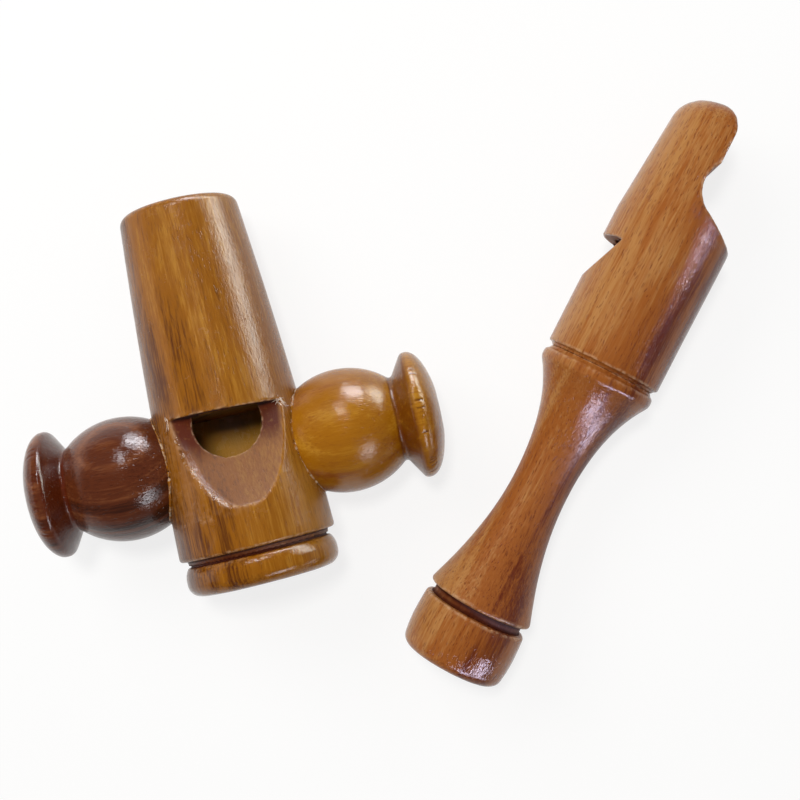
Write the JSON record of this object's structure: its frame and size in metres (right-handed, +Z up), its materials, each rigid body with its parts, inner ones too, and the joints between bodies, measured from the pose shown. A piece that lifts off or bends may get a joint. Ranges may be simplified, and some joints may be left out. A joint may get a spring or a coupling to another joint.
{
  "type": "bird call",
  "caption": "Set of turned wooden bird calls lying side by side: a tapered whistle with hollow side arms, and a beaked whistle whose turned grip slides to bend the note.",
  "frame": {"origin": "on the table, below the middle of the box around the pair", "axes": "+Z up from the table, +Y towards the mouth ends, +X from the arm call to the slide call"},
  "size_m": [0.1508, 0.1252, 0.0341],
  "materials": {
    "honey_wood": "gloss varnish",
    "golden_wood": "gloss varnish",
    "dark_wood": "gloss varnish",
    "red_wood": "gloss varnish",
    "block_wood": "bare, fine sanded",
    "cork": "bare cork"
  },
  "bodies": {
    "calls": {"arm_call_body": "honey_wood", "arm_call_block": "block_wood", "arm_call_plug": "block_wood", "left_arm": "dark_wood", "right_arm": "golden_wood", "slide_call_barrel": "red_wood", "slide_call_block": "block_wood"},
    "grip": {"slide_grip": "red_wood", "stopper_packing": "cork"}
  },
  "joints": [
    {"name": "grip_slide", "type": "slide", "parent": "calls", "child": "grip", "axis": [-0.4589, -0.8884, -0.013], "range_m": [0, 0.009]}
  ]
}
